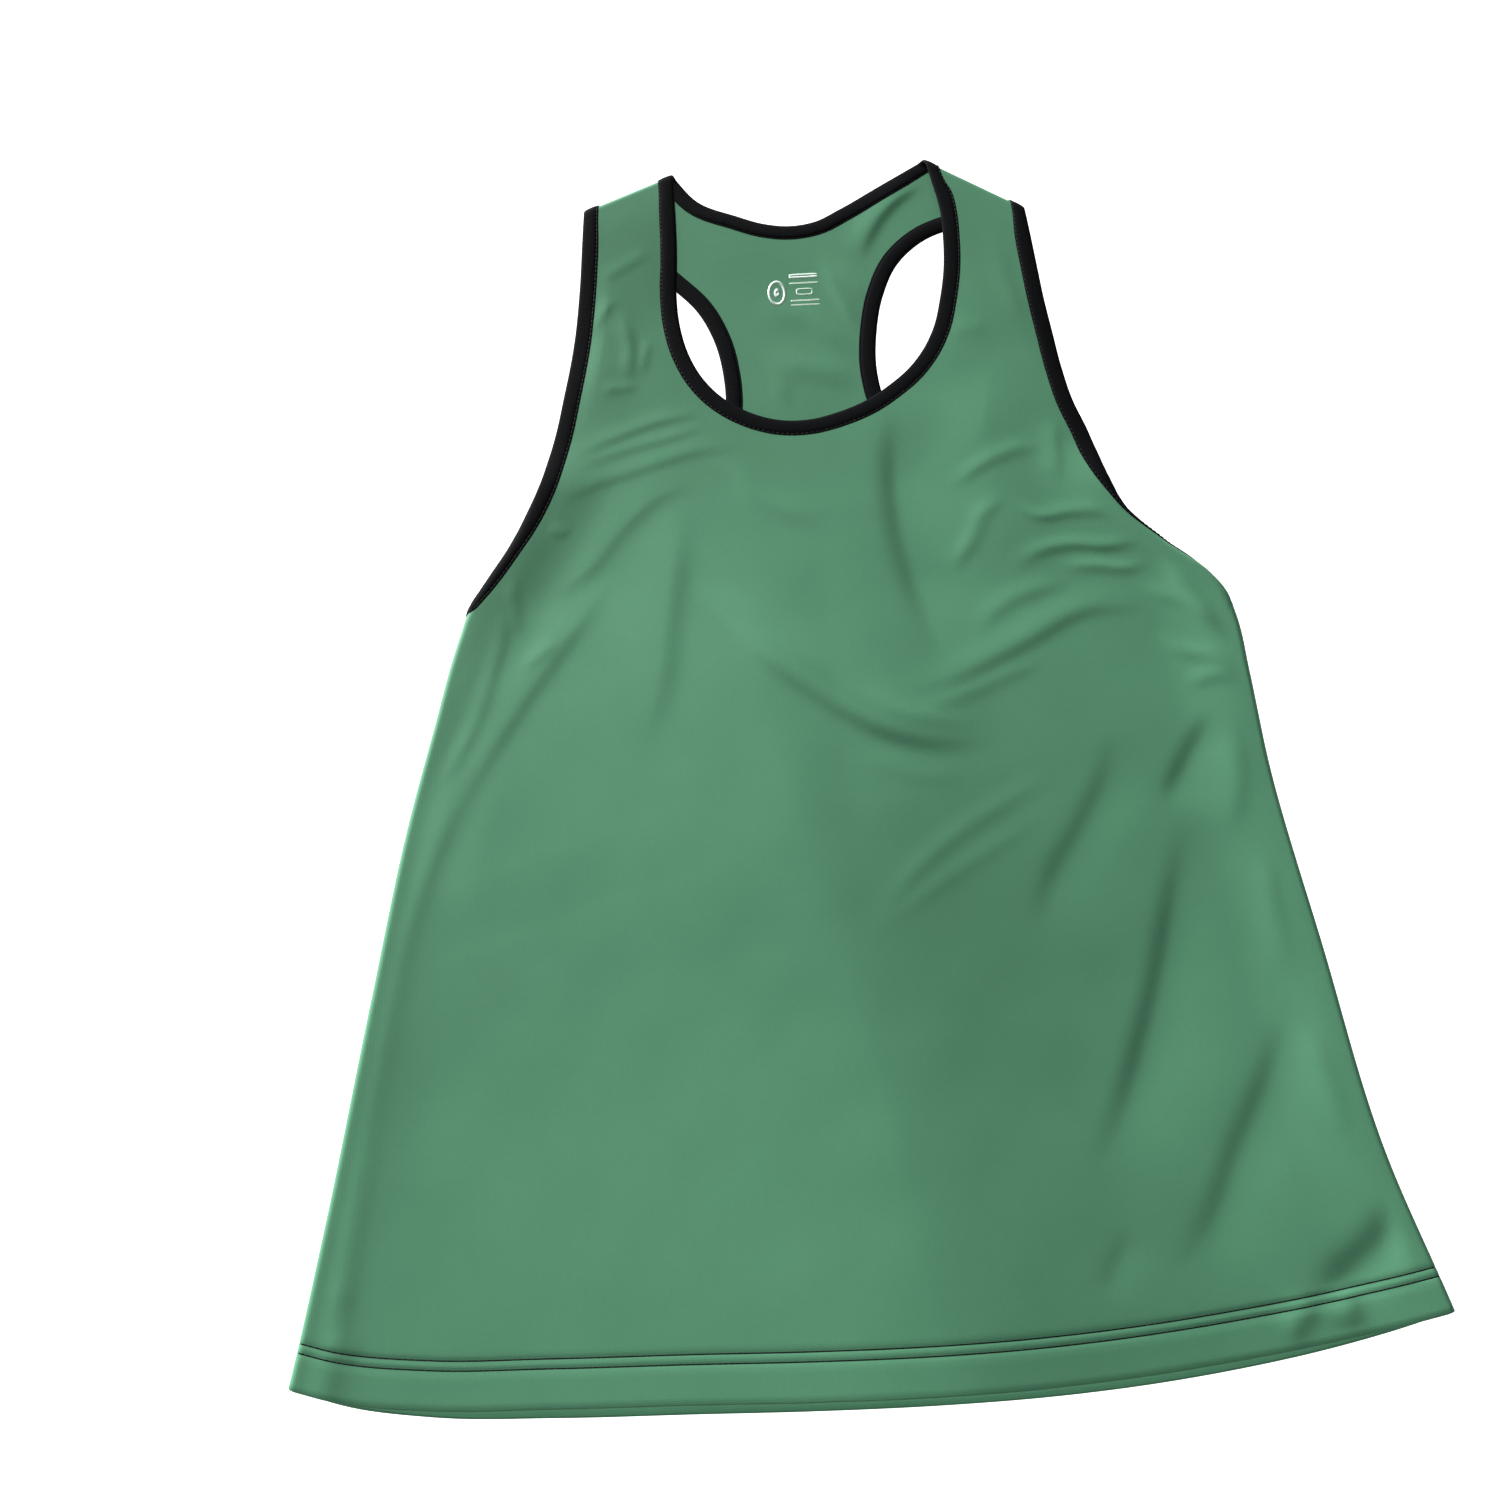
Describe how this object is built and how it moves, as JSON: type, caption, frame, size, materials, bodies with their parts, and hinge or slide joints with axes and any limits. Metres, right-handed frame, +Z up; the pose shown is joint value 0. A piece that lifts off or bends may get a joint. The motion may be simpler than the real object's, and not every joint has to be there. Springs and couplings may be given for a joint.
{
  "type": "tank top",
  "caption": "Sleeveless racerback sports top in thin knit, laid flat on its back, with a scooped neck, dark bindings, an A-line body and a turned-up hem.",
  "frame": {"origin": "middle of the garment's length and width, on the surface it lies on", "axes": "+X towards the viewer's right of the front as laid, +Y from the hem towards the shoulders, +Z up, out of the front"},
  "size_m": [0.5466, 0.6932, 0.0102],
  "materials": {
    "green_knit": "fine matt knit",
    "black_tape": "fine matt knit"
  },
  "bodies": {
    "root": {"front": "green_knit", "back": "green_knit", "neck_binding": "black_tape", "armhole_binding_left": "black_tape", "armhole_binding_right": "black_tape"}
  },
  "joints": []
}
